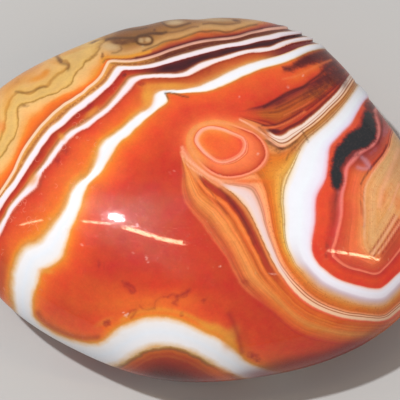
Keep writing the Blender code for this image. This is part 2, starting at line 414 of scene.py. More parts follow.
# Colours of the inner bands, lower arm
LOWER_INNER_COLOURS = (
    (0.0, (214, 84, 48)), (0.05, (214, 98, 54)), (0.11, (198, 84, 44)), (0.17, (200, 90, 44)),
    (0.24, (214, 112, 54)), (0.31, (226, 130, 64)), (0.4, (236, 142, 72)), (0.46, (224, 124, 56)),
    (0.5, (232, 130, 60)), (0.55, (212, 106, 44)), (0.6, (198, 84, 28)), (0.63, (214, 100, 38)),
    (0.665, (244, 128, 58)), (0.715, (228, 108, 42)), (0.75, (186, 66, 22)), (0.79, (174, 52, 28)),
    (0.86, (172, 54, 30)), (0.9, (190, 88, 40)), (0.935, (224, 128, 66)), (0.965, (206, 122, 66)),
    (0.985, (170, 104, 58)), (1.01, (234, 180, 136)), (1.08, (240, 202, 178)), (1.3, (236, 208, 204)),
    (1.55, (236, 202, 196)), (1.74, (240, 184, 162)), (1.83, (196, 132, 102)), (1.92, (232, 152, 120)),
    (1.97, (210, 126, 90)), (2.02, (246, 156, 112)), (2.12, (250, 162, 106)), (2.21, (246, 148, 90)),
    (2.3, (212, 98, 32)), (2.42, (220, 110, 28)), (2.58, (224, 136, 44)), (2.76, (232, 170, 74)),
    (2.82, (190, 140, 66)), (2.87, (240, 204, 140)), (2.92, (186, 150, 98)), (2.97, (244, 222, 192)),
    (3.04, (246, 234, 224)), (3.15, (241, 240, 248)), (3.5, (240, 243, 250)), (3.82, (239, 232, 246)),
    (3.94, (240, 205, 220)), (4.0, (236, 150, 150)), (4.05, (230, 84, 58)), (4.15, (232, 78, 38)),
    (4.45, (226, 75, 40)), (4.6, (196, 60, 40)), (4.75, (156, 52, 40)), (4.87, (200, 80, 70)),
    (4.93, (236, 112, 106)), (5.0, (240, 126, 118)), (5.06, (232, 104, 84)), (5.12, (214, 76, 36)),
    (5.3, (230, 95, 50)), (5.5, (238, 106, 62)), (5.7, (234, 112, 60)), (5.8, (238, 126, 68)),
    (5.9, (240, 142, 82)), (5.98, (236, 146, 84)), (6.05, (238, 160, 98)), (6.15, (234, 164, 104)),
    (6.4, (232, 158, 94)), (6.8, (236, 172, 112)), (7.1, (232, 170, 110)), (7.4, (230, 160, 94)),
    (7.8, (238, 172, 110)), (8.2, (230, 158, 94)), (8.6, (236, 168, 106)), (9.5, (230, 160, 98)),
)

# Colours of the inner bands, lower right
CORNER_INNER_COLOURS = (
    (0.0, (190, 48, 34)), (0.05, (202, 62, 34)), (0.15, (216, 88, 38)), (0.3, (220, 108, 42)),
    (0.42, (222, 132, 60)), (0.5, (220, 122, 52)), (0.57, (226, 110, 40)), (0.62, (218, 110, 44)),
    (0.68, (218, 102, 32)), (0.73, (228, 116, 42)), (0.78, (206, 86, 26)), (0.84, (224, 102, 32)),
    (0.9, (216, 92, 32)), (0.95, (230, 90, 52)), (0.985, (238, 124, 88)), (1.04, (246, 176, 136)),
    (1.12, (250, 204, 168)), (1.44, (250, 200, 162)), (1.52, (188, 108, 70)), (1.59, (190, 110, 72)),
    (1.67, (250, 190, 150)), (1.8, (250, 186, 146)), (1.87, (184, 102, 62)), (1.94, (188, 104, 62)),
    (2.02, (246, 158, 108)), (2.1, (240, 136, 78)), (2.18, (216, 108, 44)), (2.28, (214, 106, 36)),
    (2.45, (218, 114, 38)), (2.64, (220, 128, 52)), (2.8, (222, 144, 76)), (2.94, (224, 160, 106)),
    (3.1, (218, 172, 146)), (3.24, (212, 182, 182)), (3.34, (218, 198, 208)), (3.46, (240, 232, 242)),
    (3.7, (242, 240, 251)), (3.88, (246, 226, 228)), (3.96, (242, 180, 160)), (4.02, (226, 80, 48)),
    (4.12, (222, 62, 34)), (4.5, (226, 70, 32)), (4.8, (208, 56, 36)), (4.92, (200, 60, 44)),
    (4.965, (240, 118, 90)), (5.03, (240, 116, 88)), (5.09, (206, 66, 46)), (5.3, (212, 80, 46)),
    (5.6, (222, 100, 56)), (5.78, (228, 116, 66)), (5.88, (206, 84, 46)), (5.96, (240, 136, 84)),
    (6.02, (176, 66, 36)), (6.1, (232, 140, 88)), (6.4, (222, 148, 92)), (7.0, (226, 158, 100)),
    (8.0, (214, 140, 84)), (9.5, (206, 130, 76)),
)

# Colours of the inner bands, upper arm
UPPER_INNER_COLOURS = (
    (0.0, (104, 28, 30)), (0.07, (126, 36, 32)), (0.15, (156, 56, 34)), (0.3, (176, 76, 28)),
    (0.5, (184, 86, 28)), (0.6, (186, 74, 26)), (0.68, (172, 54, 22)), (0.74, (150, 36, 24)),
    (0.79, (192, 72, 36)), (0.84, (188, 64, 32)), (0.88, (148, 42, 24)), (0.93, (136, 38, 22)),
    (0.965, (178, 96, 58)), (1.0, (222, 180, 155)), (1.07, (246, 222, 208)), (1.3, (240, 210, 194)),
    (1.37, (190, 136, 110)), (1.44, (240, 208, 188)), (1.58, (242, 208, 186)), (1.65, (160, 92, 56)),
    (1.74, (170, 100, 58)), (1.81, (242, 196, 158)), (1.94, (240, 182, 138)), (2.01, (204, 130, 78)),
    (2.08, (146, 84, 40)), (2.2, (186, 116, 54)), (2.38, (198, 130, 68)), (2.46, (164, 100, 50)),
    (2.54, (196, 132, 76)), (2.66, (204, 148, 98)), (2.73, (160, 112, 70)), (2.8, (204, 156, 112)),
    (2.9, (222, 188, 152)), (3.0, (236, 214, 194)), (3.15, (241, 238, 243)), (3.5, (239, 243, 250)),
    (3.82, (234, 228, 246)), (3.94, (235, 195, 215)), (4.0, (226, 140, 132)), (4.06, (222, 84, 54)),
    (4.2, (222, 75, 44)), (4.4, (176, 50, 38)), (4.62, (120, 42, 40)), (4.84, (112, 46, 50)),
    (4.92, (205, 105, 100)), (5.0, (226, 126, 118)), (5.07, (200, 96, 90)), (5.14, (146, 50, 42)),
    (5.3, (166, 62, 54)), (5.6, (190, 78, 56)), (5.78, (206, 74, 40)), (5.86, (160, 52, 28)),
    (5.93, (236, 124, 74)), (5.99, (160, 66, 34)), (6.06, (240, 162, 108)), (6.3, (214, 160, 106)),
    (6.8, (220, 168, 112)), (7.4, (206, 146, 96)), (8.0, (218, 162, 110)), (9.5, (208, 148, 98)),
)

# Colours of the eye from its outer ring to its core, on its lit side and its gold side
EYE_LIT_COLOURS = (
    (-0.3, (222, 112, 58)), (0.0, (222, 112, 62)), (0.35, (234, 124, 78)), (0.55, (250, 148, 112)),
    (0.8, (246, 136, 100)), (0.92, (220, 92, 56)), (1.0, (186, 62, 36)), (1.08, (206, 78, 42)),
    (1.25, (228, 100, 54)), (1.55, (240, 116, 66)), (1.8, (250, 124, 70)), (1.86, (222, 100, 55)),
    (1.91, (250, 145, 98)), (1.95, (225, 105, 70)), (2.0, (238, 118, 82)), (2.18, (252, 160, 130)),
    (2.45, (246, 144, 108)), (2.6, (240, 122, 84)), (2.72, (248, 138, 98)), (2.9, (236, 100, 60)),
    (3.06, (234, 88, 50)), (3.3, (238, 96, 46)), (3.8, (240, 98, 46)), (4.5, (242, 100, 50)),
)
EYE_GOLD_COLOURS = (
    (-0.1, (232, 125, 55)), (0.0, (234, 135, 66)), (0.4, (236, 142, 76)), (0.9, (238, 146, 84)),
    (1.5, (238, 140, 70)), (1.8, (232, 118, 58)), (1.94, (220, 105, 70)), (2.05, (246, 158, 128)),
    (2.4, (252, 170, 140)), (2.7, (246, 154, 104)), (2.95, (240, 132, 60)), (3.3, (242, 114, 46)),
    (3.7, (240, 98, 42)), (4.5, (238, 92, 44)),
)

# Colours by pixels outside the orange band, on the crown's upper edge
TOP_TAN_COLOURS = (
    (-1, (202, 120, 44)), (1, (208, 150, 86)), (3.5, (208, 156, 96)), (7, (186, 130, 74)),
    (11, (162, 108, 50)), (15, (154, 98, 42)), (18, (144, 90, 40)), (22, (140, 86, 38)),
    (30, (142, 92, 44)),
)

# Colours by pixels outside the white hump at the lower edge: the bands' own tan and orange, then painted
# shade that darkens them towards the lower rim
HUMP_COLOURS_AND_RIM_SHADE = (
    (-1.5, (222, 196, 158)), (0, (190, 138, 76)), (1.4, (156, 100, 48)), (2.6, (164, 86, 42)),
    (4, (196, 92, 28)), (7, (180, 68, 20)), (9, (182, 74, 26)), (11, (162, 50, 16)), (16, (146, 38, 14)),
    (24, (106, 20, 8)), (36, (64, 8, 4)),
)

# Colours by pixels inside the edge of the eye, where it meets the main field
HALO_COLOURS = (
    (-14, (214, 68, 36)), (-8, (218, 74, 38)), (-4, (226, 90, 46)), (-1, (236, 112, 58)),
    (3, (240, 134, 66)),
)

# Soft patches: x, y, half length, half width, turn in degrees and strength
PATCHES = {
    "dark_patches": (
        (284, 68, 4, 2.2, 40, 0.6), (331, 72, 15, 9, 50, 1.0), (341, 72, 12, 7, 50, 0.8),
        (322, 79, 9, 4.5, -35, 0.8), (312, 92, 18, 5, -30, 0.35), (275, 131, 8, 3, 0, 0.95),
        (266, 129, 5, 2, 25, 0.7), (293, 143, 5, 2.2, -40, 0.4), (281, 102, 14, 3, -28, 0.5),
        (270, 105, 6, 2.5, -20, 0.4), (318, 88, 20, 8, -35, 0.6), (322, 97, 10, 6, -35, 0.5),
        (300, 64, 10, 4.5, -15, 1.0), (313, 59, 14, 6, -12, 1.0), (328, 60, 10, 7, 15, 1.0),
        (290, 69, 7, 3.5, 25, 0.8), (334, 78, 10, 14, 20, 0.7), (356, 155, 8, 3, -35, 0.6),
        (362, 162, 5, 3.5, 0, 0.4), (369, 105, 7, 6, 50, 0.95), (365, 156, 6, 3, -30, 0.3),
        (330, 205, 3, 6, 0, 0.35), (327, 245, 3, 7, 0, 0.55), (332, 215, 2.5, 8, 5, 0.45),
        (336, 200, 3, 8, 0, 0.4), (326, 256, 3, 4, 0, 0.5), (124, 75, 3, 4, 30, 0.7),
        (215, 54, 9, 3, -14, 0.8), (180, 66, 16, 4, -20, 0.5),
    ),
    "red_patches": (
        (99, 264, 2.4, 7, 0, 0.6), (104, 266, 1.6, 6, 0, 0.5), (128, 285, 8, 4, 38, 0.6),
        (133, 291, 4, 5, 40, 0.5), (185, 294, 9, 4, -30, 0.7), (175, 300, 6, 6, 0, 0.5),
        (165, 296, 8, 4, -10, 0.4), (204, 300, 4, 5, 0, 0.6), (107, 323, 5, 4.5, -20, 0.8),
        (182, 314, 3.2, 3.2, 0, 0.8), (254, 357, 11, 5, 25, 0.7), (66, 150, 6, 7, -40, 0.7),
        (58, 160, 5, 7, 0, 0.6), (88, 108, 9, 4, -40, 0.8), (246, 283, 8, 6, 30, 0.5),
        (142, 84, 5, 3, 0, 0.8), (254, 52.5, 10, 2, -3, 0.5), (206, 72, 8, 5, -20, 0.5),
    ),
    "shadow_patches": (
        (296, 366, 66, 10, -13, 0.85), (345, 352, 34, 8, -26, 0.8), (268, 376, 22, 4, 0, 0.6),
        (1, 276, 6, 26, 8, 0.45), (375, 334, 20, 5, -35, 0.5), (240, 340, 12, 26, -18, 0.25),
    ),
    "gold_patches": (
        (148, 97, 6, 11, 0, 0.85), (231, 338, 6, 12, 25, 0.7), (221, 331, 13, 5, 30, 0.6),
        (206, 326, 8, 4, 30, 0.5), (46, 271, 7, 2.5, 10, 0.6), (284, 168, 5, 22, 14, 0.25),
        (102, 59, 3, 6, 25, 0.6), (62, 137, 3, 4, -40, 0.6), (92, 112, 8, 3, -40, 0.6),
        (33, 180, 4, 7, 35, 0.7), (96, 155, 4, 9, 14, 0.5), (170, 86, 24, 3, 0, 0.7),
        (104, 322, 10, 3, -28, 0.3),
    ),
    "brown_patches": (
        (119, 42.3, 11, 3, 6, 1.0), (133, 40, 7, 3, 0, 0.95), (94, 42, 6, 1.6, -22, 0.9),
        (60, 60, 4, 3, 50, 0.8), (154.5, 30, 1.8, 1.8, 0, 1.0), (144.5, 41, 2.2, 3.5, 15, 0.6),
        (156, 33.5, 10, 2, 0, 0.9), (24, 106, 7, 2.5, -5, 0.6), (112, 38.5, 12, 2, -4, 0.5),
        (102.5, 55, 2, 4, 20, 0.7), (279, 151, 7, 3, 10, 0.5), (270, 144, 4, 2.4, 40, 0.5),
        (128, 41.5, 9, 2.5, -5, 0.4), (284, 148, 10, 2.4, -8, 0.5), (294, 143.5, 6, 2.4, -42, 0.4),
        (277, 157, 9, 8, 0, 0.22), (14, 86, 12, 5, -30, 0.2), (20, 79, 8, 3.5, -25, 0.3),
        (102.8, 57, 1.7, 5.5, -12, 0.6), (236, 20.5, 5, 1.6, 4, 0.9),
    ),
    "orange_patches": (
        (383, 200, 4, 11, 8, 0.35), (398, 202, 4, 8, 0, 0.4), (98, 296, 38, 18, 0, 0.35),
        (152, 301, 54, 12, -2, 0.3), (305, 72, 15, 4.5, -25, 0.9), (318, 65, 9, 3, -28, 0.8),
        (298, 79, 10, 4, -20, 0.5), (322, 316, 8, 3, 15, 0.7), (2, 127, 4, 6, 0, 0.5),
        (205, 35, 9, 2.2, 6, 0.4), (250, 181, 18, 2.4, 0, 0.8), (222, 374, 16, 5, 22, 0.6),
    ),
    "amber_patches": (
        (45.5, 72.5, 5, 2.8, -30, 1.0), (38, 78, 10, 3, -20, 0.9), (26, 78, 10, 4, -30, 0.4),
        (12, 84, 14, 6, -38, 0.6), (8, 100, 5, 10, 10, 0.4), (95, 72, 5, 10, 35, 0.5),
        (22, 130, 4, 14, 15, 0.4), (55, 62, 8, 2.5, 10, 0.4), (70, 52, 14, 2, -18, 0.5),
        (276, 157, 6, 12, 8, 0.3), (268, 176, 8, 5, -40, 0.3), (150, 304, 50, 8, -2, 0.22),
    ),
    "pale_patches": (
        (175, 22.5, 9, 2.4, -2, 0.9), (215, 19.5, 18, 1.8, 2, 0.6), (141, 40.5, 3.5, 2.6, 0, 0.6),
        (148, 39.5, 3.5, 2.4, 0, 0.7), (143, 45.8, 1.4, 1.2, 0, 0.9), (111, 47, 9, 4, 6, 0.7),
    ),
    "glint_patches": (
        (126, 315, 1.9, 0.9, -20, 0.9), (123.5, 312.5, 1.0, 0.7, 0, 0.7), (128.5, 313.3, 0.8, 0.6, 0, 0.8),
        (126, 317, 0.7, 0.7, 0, 0.7), (146.5, 258, 0.7, 2.4, -15, 0.6), (148, 262, 0.7, 1.1, 20, 0.5),
        (133, 253, 0.7, 0.7, 0, 0.5), (220, 266.5, 0.9, 0.7, 0, 0.6), (258, 154, 0.9, 0.8, 0, 0.7),
        (288, 87, 0.8, 1.2, 0, 0.5), (303, 75.5, 0.8, 1.2, 0, 0.5), (170, 173, 0.8, 0.8, 0, 0.3),
        (174, 171.5, 0.7, 1.0, 0, 0.3), (239, 97, 0.8, 0.8, 0, 0.4), (188, 268, 0.6, 0.6, 0, 0.4),
        (82, 245, 2.0, 0.6, 35, 0.4), (273, 274, 3.5, 0.6, 5, 0.5),
    ),
    "lilac_patches": (
        (366, 165, 4.5, 3, 45, 0.6), (385, 131, 4, 7, 10, 0.7), (374, 151, 8, 3, -40, 0.5),
        (338, 192, 3, 5, 0, 0.4), (340, 165, 3, 6, 10, 0.3),
    ),
}

# Fine lines: half width in pixels, strength, and points
STROKES = {
    "brown_lines": (
        (2.0, 0.6, ((56, 55), (58, 59), (60, 62), (63, 63.5), (66, 64), (68.5, 65.5), (68, 69))),
        (1.5, 0.9, ((106, 40), (112, 38.3), (120, 38), (130, 38), (136, 37.5), (139, 36), (144, 34.8),
            (152, 33.2), (162, 33.2), (166, 32.2))),
        (1.4, 1.0, ((144, 36), (150, 36.5), (152.5, 39.5), (151.5, 43), (147, 44.5), (142, 44.5),
            (137.5, 43), (136, 40), (138, 37), (144, 36))),
        (0.9, 0.7, ((114, 31.5), (122, 30.3), (130, 29.6), (140, 29), (147, 27.5))),
        (1.0, 0.8, ((162, 22.5), (166, 25.5), (170, 27), (175, 27.2), (180, 26), (185, 24.5), (190, 23))),
        (1.0, 0.5, ((166, 32.5), (174, 32), (182, 30.5), (190, 27.5), (198, 26.5))),
        (1.1, 0.6, ((203, 24), (210, 23.2), (218, 23.8), (226, 24.3), (233, 23.8), (240, 22.5))),
        (1.0, 0.7, ((143, 51), (150, 48), (157, 45.2), (163, 42), (170, 40.3), (178, 39), (185, 36.5),
            (192, 34), (200, 31.5), (207, 31.8), (213, 30.6), (220, 31), (226, 32.5), (232, 31.2),
            (238, 29), (244, 27.3), (250, 25.5), (257, 24.5))),
        (0.9, 0.55, ((121, 46.5), (121.8, 49), (119, 51.3), (116, 52.6), (112, 53))),
        (0.9, 0.8, ((165, 93.3), (168, 92.8), (173, 93.2), (178, 94.6), (183, 96.2), (188, 97))),
        (0.9, 0.7, ((165.3, 93), (167, 96), (168.4, 99))),
        (1.2, 0.5, ((16, 91.5), (24, 92.8), (33, 91), (38, 88.5), (46, 86.5))),
        (0.8, 0.6, ((103.2, 62.5), (105.6, 59.4), (110, 58.9), (120, 59.1), (130, 58.9), (138, 57.4))),
        (0.9, 0.55, ((111, 63.2), (118, 63.6), (126, 63.8), (136, 63.2))),
        (1.0, 0.7, ((272, 141), (276, 145), (281, 148.6), (287, 147.6), (292, 144.5), (297, 141))),
        (0.8, 0.7, ((302, 130), (304, 134), (307, 139), (308, 141.5))),
        (0.8, 0.5, ((286, 160), (288, 156), (291, 151), (295, 147))),
    ),
    "maroon_lines": (
        (2.4, 0.4, ((220, 189), (226, 195), (233, 203.5), (240.5, 214), (246, 224), (250.5, 234),
            (254, 243))),
        (1.8, 0.4, ((227, 197), (234, 205.5), (240.5, 215.5), (246, 226), (249, 233))),
        (5.2, 0.95, ((303, 61), (308, 58.5), (315, 55.5), (325, 52.5), (340, 51))),
        (2.4, 0.5, ((285, 70.5), (291, 68.5), (297, 65.5), (304, 62))),
        (5.0, 0.6, ((334, 62), (338, 72), (344, 84))),
        (1.5, 0.95, ((264, 107), (271, 103), (278, 98.5), (285, 94), (294, 90), (303, 86.8), (310, 81.5),
            (318, 76), (326, 69), (336, 62))),
        (1.0, 0.8, ((262, 125.3), (270, 125.6), (278, 123.8), (286, 120.3), (294, 116), (302, 111))),
        (0.9, 0.5, ((292, 113.5), (300, 109.5), (308, 106), (316, 101), (324, 95))),
        (1.1, 0.7, ((270, 130.5), (278, 131.8), (286, 129), (294, 124.8), (303, 119.5), (312, 113.5))),
        (0.8, 0.5, ((275, 108.5), (285, 104), (296, 98.5), (308, 92), (320, 86))),
        (0.8, 0.4, ((270, 113), (282, 110), (294, 104), (306, 98), (318, 91))),
        (1.3, 0.7, ((136, 58), (145, 56.3), (155, 53.2), (165, 49.6), (175, 46.6), (185, 43.6), (195, 40.8),
            (204, 39.3), (213, 38.5), (222, 37), (232, 36), (241, 34.2), (250, 31.5), (262, 28.5))),
        (0.9, 0.8, ((386.5, 145), (382.5, 154), (377, 160.5), (372.5, 165.5), (368.5, 171.5),
            (364.5, 177.5), (361.5, 184))),
        (0.9, 0.6, ((381, 117), (382, 124), (382.5, 131), (380.5, 138), (378, 144))),
        (0.9, 0.45, ((200, 176), (204, 184), (211, 192), (218, 202), (227, 214))),
        (0.8, 0.6, ((361.5, 184), (361, 192), (361, 204), (361.4, 214))),
        (0.8, 0.5, ((364.6, 184), (363.7, 192), (363.7, 205), (363.9, 216), (364.3, 228))),
        (1.3, 0.5, ((259, 127.5), (264, 132.5), (268, 138.5), (272, 143.8), (277, 147.3), (283, 149))),
    ),
    "bright_lines": (
        (1.0, 0.8, ((263, 127.5), (271, 127.5), (279, 126), (287, 122.5), (296, 117.5), (305, 111.5))),
        (0.8, 0.5, ((284, 115.5), (293, 111), (302, 106.5), (310, 101.5))),
        (1.2, 0.6, ((283, 79), (295, 76.5), (306, 71.5), (317, 65.8), (331, 60))),
        (0.9, 0.8, ((387.5, 150), (384, 157), (379, 163), (374.5, 168.5), (370, 175), (365.5, 182),
            (363, 189), (362, 200), (362, 212), (362, 225))),
        (0.9, 0.7, ((370, 172), (366.5, 178), (361, 189), (359.5, 200))),
        (0.8, 0.6, ((198, 180), (205, 190), (212, 200), (220, 211), (229, 224), (237, 238))),
    ),
    "peach_lines": (
        (0.8, 0.9, ((240, 119.5), (247, 123), (254, 127), (260, 131), (265, 135.5), (270, 140), (275, 144),
            (280, 146), (285, 145.5))),
        (1.1, 0.8, ((182, 147), (185, 155), (190, 161.5), (197, 167), (203, 171.5), (209, 175.8),
            (216, 179.5), (223, 182.6))),
        (0.8, 0.6, ((181.5, 152), (184, 160), (189, 166), (195, 170.5), (202, 175.5))),
        (1.1, 0.5, ((399, 184), (396, 192), (393, 200), (389, 210))),
        (0.9, 0.6, ((389, 148), (384, 156.5), (378.5, 164), (373.5, 171.5), (369, 179), (365.5, 187),
            (364.5, 196), (364.5, 210), (364.3, 226), (364.5, 238))),
        (2.6, 0.4, ((398, 150), (393, 163), (388, 176), (382, 190), (379, 206))),
        (0.9, 0.8, ((396.5, 216), (390, 227), (383, 238), (377, 247), (371.5, 255))),
        (0.8, 0.7, ((401, 222), (393, 233), (386, 243.5), (379, 253))),
    ),
    "lilac_lines": (
        (1.9, 0.5, ((362, 157.5), (366, 162), (369, 167.5), (364, 168.8), (358, 167.5))),
        (1.4, 0.3, ((366, 159), (369, 163), (371, 168))),
    ),
    "gold_lines": (
        (1.7, 0.9, ((102, 62), (104.5, 58.6), (110, 57.2), (120, 57.2), (130, 56.4), (140, 54.2),
            (150, 51.4))),
        (2.4, 0.5, ((122, 320), (130, 315), (140, 311.5), (155, 309.5), (170, 310.5), (186, 314.5),
            (200, 321.5), (212, 329))),
        (4.2, 0.4, ((214, 328), (222, 333), (229, 339), (234, 346))),
    ),
    "red_lines": (
        (0.9, 0.75, ((394.5, 215), (388, 226), (381.5, 236), (375.5, 245.5), (370, 253))),
        (0.9, 0.85, ((399, 219), (392, 230), (385.5, 240.5), (379, 249.5), (373, 257))),
        (0.8, 0.7, ((400, 226), (394, 236), (388, 245.5), (382, 253.5))),
        (5.0, 0.5, ((408, 218), (399, 232), (391, 245), (384, 256))),
        (3.0, 0.55, ((38, 313), (43, 320), (52, 327), (63, 332.5), (76, 336.5), (88, 338), (98, 337))),
        (2.8, 0.55, ((229, 314), (233, 322), (236.5, 331), (239.5, 341), (242, 352))),
        (1.3, 0.5, ((122, 281), (125, 284), (129, 285), (133, 287), (135, 291), (132, 293))),
        (1.2, 0.4, ((124, 286), (128, 288), (131, 292))),
        (1.1, 0.35, ((155, 309), (155, 303), (158, 299), (163, 297), (168, 297))),
        (1.2, 0.5, ((168, 297), (173, 294), (178, 296), (177, 300), (173, 303), (177, 305))),
        (1.4, 0.55, ((176, 297), (182, 294.5), (187, 292), (190, 289))),
        (1.1, 0.4, ((140, 306), (143, 309), (149, 309.5), (154, 308))),
        (1.2, 0.5, ((128, 315), (131, 311), (136, 310), (134, 314), (131, 318))),
    ),
}

# Colours of the patches and lines, in the order that they are laid on
MARK_COLOURS = {
    "gold_patches": (228, 152, 58),
    "amber_patches": (228, 142, 40),
    "orange_patches": (232, 104, 34),
    "red_patches": (156, 36, 30),
    "shadow_patches": (124, 24, 18),
    "pale_patches": (214, 180, 134),
    "brown_patches": (104, 56, 26),
    "dark_patches": (88, 24, 26),
    "lilac_patches": (176, 96, 108),
    "gold_lines": (230, 152, 48),
    "red_lines": (158, 38, 28),
    "lilac_lines": (206, 146, 158),
    "glint_patches": (253, 196, 174),
    "brown_lines": (92, 54, 24),
    "maroon_lines": (88, 22, 24),
    "bright_lines": (240, 120, 64),
    "peach_lines": (252, 178, 142),
}
RAGGED_MARKS = ("dark_patches", "brown_patches", "lilac_patches", "red_patches")


def smooth_step(values, low, high):
    """0 at low and 1 at high, and smooth between them."""
    t = np.clip((values - low) / (high - low), 0, 1)
    return t * t * (3 - 2 * t)


def unit(vectors):
    """Vectors brought to length 1."""
    return vectors / np.linalg.norm(vectors, axis=1)[:, None]


def rim_radius(angles):
    """Radius of the stone's widest outline at some angles."""
    count = len(RIM_RADII)
    smallest = 1e-7
    total = np.zeros_like(angles)
    for index, radius in enumerate(RIM_RADII):
        half_turns = (angles - math.tau * index / count) / 2
        half_turns = np.where(np.abs(np.sin(half_turns)) < smallest, smallest, half_turns)
        total += radius * np.sin(count * half_turns) / (count * np.tan(half_turns))
    return total


def stone_points(directions):
    """Points of the stone's surface in some directions from its middle."""
    x, y, z = directions.T
    angles = np.arctan2(y, x)
    latitudes = np.arcsin(np.clip(z, -1, 1))
    fullness = 1 + SHOULDER_FULLNESS * np.sin(2 * latitudes) ** 2
    out = fullness * np.cos(latitudes) * rim_radius(angles)
    up = fullness * np.sin(latitudes)
    return np.column_stack([
        out * np.cos(angles) + CROWN_LEAN_X * up * np.abs(up),
        out * np.sin(angles) + CROWN_LEAN_Y * up * np.abs(up),
        HALF_THICKNESS * up + CROWN_LIFT * up * up,
    ])


def stone_normals(directions):
    """Outward normals of the stone's surface in some directions from its middle."""
    side = unit(np.cross(directions, ODD_DIRECTION))
    slopes = []
    for sideways in (side, np.cross(directions, side)):
        ends = [stone_points(unit(directions + step * sideways)) for step in (NORMAL_STEP, -NORMAL_STEP)]
        slopes.append(ends[0] - ends[1])
    normals = unit(np.cross(*slopes))
    return normals * np.sign((normals * directions).sum(1))[:, None]


def ring_fineness(turns):
    """How fine the skin is at some turns away from the side that faces the camera."""
    return 1 + (HIDDEN_FINENESS - 1) * smooth_step(turns, HIDDEN_START, HIDDEN_FULL)


def skin_rings():
    """Turn of each ring of skin vertices, and how many vertices it has."""
    turns = np.linspace(0, math.pi, PROFILE_SAMPLES)
    speed = np.hypot(MEAN_RADIUS_PIXELS * np.cos(turns), DEPTH_PIXELS * np.sin(turns))
    speed *= ring_fineness(turns)
    steps = np.concatenate([[0], np.cumsum((speed[1:] + speed[:-1]) / 2 * (turns[1] - turns[0]))])
    count = int(steps[-1] / SKIN_STEP)
    ring_turns = np.interp(np.linspace(0, steps[-1], count + 1)[1:-1], steps, turns)
    around = math.tau * MEAN_RADIUS_PIXELS * np.sin(ring_turns) * ring_fineness(ring_turns) / SKIN_STEP
    return ring_turns, np.maximum(FEWEST_AROUND, around).astype(int)


def stitch(inner, outer):
    """Triangles between two closed rings of vertex numbers."""
    faces = []
    i = j = 0
    while i < len(inner) or j < len(outer):
        a = inner[i % len(inner)]
        b = outer[j % len(outer)]
        step_inner = i < len(inner) and (i + 0.5) / len(inner) <= (j + 0.5) / len(outer)
        if step_inner or j >= len(outer):
            i += 1
            faces.append((a, b, inner[i % len(inner)]))
        else:
            j += 1
            faces.append((a, b, outer[j % len(outer)]))
    return faces


def skin_shape():
    """Vertices, normals and triangles of the stone's fine skin."""
    pole = np.array(FACING_POLE) / np.linalg.norm(FACING_POLE)
    side = np.array([1.0, 0.0, 0.0])
    upward = np.cross(pole, side)
    directions = [pole[None]]
    rings = []
    start = 1
    for turn, count in zip(*skin_rings()):
        angles = math.tau * np.arange(count) / count
        spread = np.outer(np.cos(angles), side) + np.outer(np.sin(angles), upward)
        directions.append(math.cos(turn) * pole + math.sin(turn) * spread)
        rings.append(list(range(start, start + count)))
        start += count
    directions.append(-pole[None])
    first, last = rings[0], rings[-1]
    faces = [(0, a, b) for a, b in zip(first, first[1:] + first[:1])]
    for inner, outer in zip(rings, rings[1:]):
        faces += stitch(inner, outer)
    faces += [(start, b, a) for a, b in zip(last, last[1:] + last[:1])]
    directions = np.concatenate(directions)
    return stone_points(directions), stone_normals(directions), faces


def make_skin():
    """Make the skin, placed in the CAD stone's box and flat below, with its points and normals."""
    points, normals, faces = skin_shape()
    low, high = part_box("agate_stone")
    middle = (points.min(0) + points.max(0)) / 2
    points[:, 0] += (low[0] + high[0]) / 2 - middle[0]
    points[:, 1] += (low[1] + high[1]) / 2 - middle[1]
    points[:, 2] += high[2] - points[:, 2].max()
    normals[points[:, 2] <= low[2]] = (0, 0, -1)
    points[:, 2] = np.maximum(points[:, 2], low[2])
    points += relief_heights(points, normals)[:, None] * normals
    mesh = bpy.data.meshes.new("agate_skin")
    mesh.from_pydata(points.tolist(), [], faces)
    mesh.shade_smooth()
    mesh.normals_split_custom_set_from_vertices(normals.tolist())
    skin = bpy.data.objects.new("agate_skin", mesh)
    bpy.context.scene.collection.objects.link(skin)
    return skin, points, normals


def camera_axes():
    """Camera place, its backward, right and up directions."""
    backward = np.array([0, -math.cos(CAMERA_ELEVATION), math.sin(CAMERA_ELEVATION)])
    upward = np.array([0, math.sin(CAMERA_ELEVATION), math.cos(CAMERA_ELEVATION)])
    place = np.array(CAMERA_TARGET) + CAMERA_DISTANCE * backward
    return place, backward, np.array([1.0, 0, 0]), upward


def towards_camera(points):
    """Directions from points to the camera."""
    return unit(camera_axes()[0] - points)


def picture_places(points):
    """Where points appear in the picture, in pixels."""
    place, backward, right, upward = camera_axes()
    away = points - place
    scale = CAMERA_LENS / SENSOR_WIDTH * PICTURE_SIZE / -(away @ backward)
    return np.column_stack([HALF_PICTURE + scale * (away @ right), HALF_PICTURE - scale * (away @ upward)])


def band_places(points, normals):
    """Places in the picture's plane that the bands are read at.

    On the seen side they are where the surface appears. Behind the outline the
    pattern turns and drifts with depth, so that the bands bend as they go round.
    """
    hidden = np.clip(-(normals * towards_camera(points)).sum(1), 0, 1)
    turn = TURN_BEHIND * hidden ** 2
    x, y = (picture_places(points) - HALF_PICTURE).T
    wave_x, wave_y, wave_z = points.T / WAVE_LENGTH_BEHIND
    wave = WAVE_BEHIND * hidden ** 1.5
    drift_x = DRIFT_BEHIND[0] * hidden ** 2 + wave * np.sin(wave_y + 1.3 * wave_z)
    drift_y = DRIFT_BEHIND[1] * hidden ** 2 + wave * np.sin(0.8 * wave_x + 2.0 * wave_z + 1)
    return np.column_stack([
        HALF_PICTURE + x * np.cos(turn) - y * np.sin(turn) + drift_x,
        HALF_PICTURE + x * np.sin(turn) + y * np.cos(turn) + drift_y,
    ]), hidden


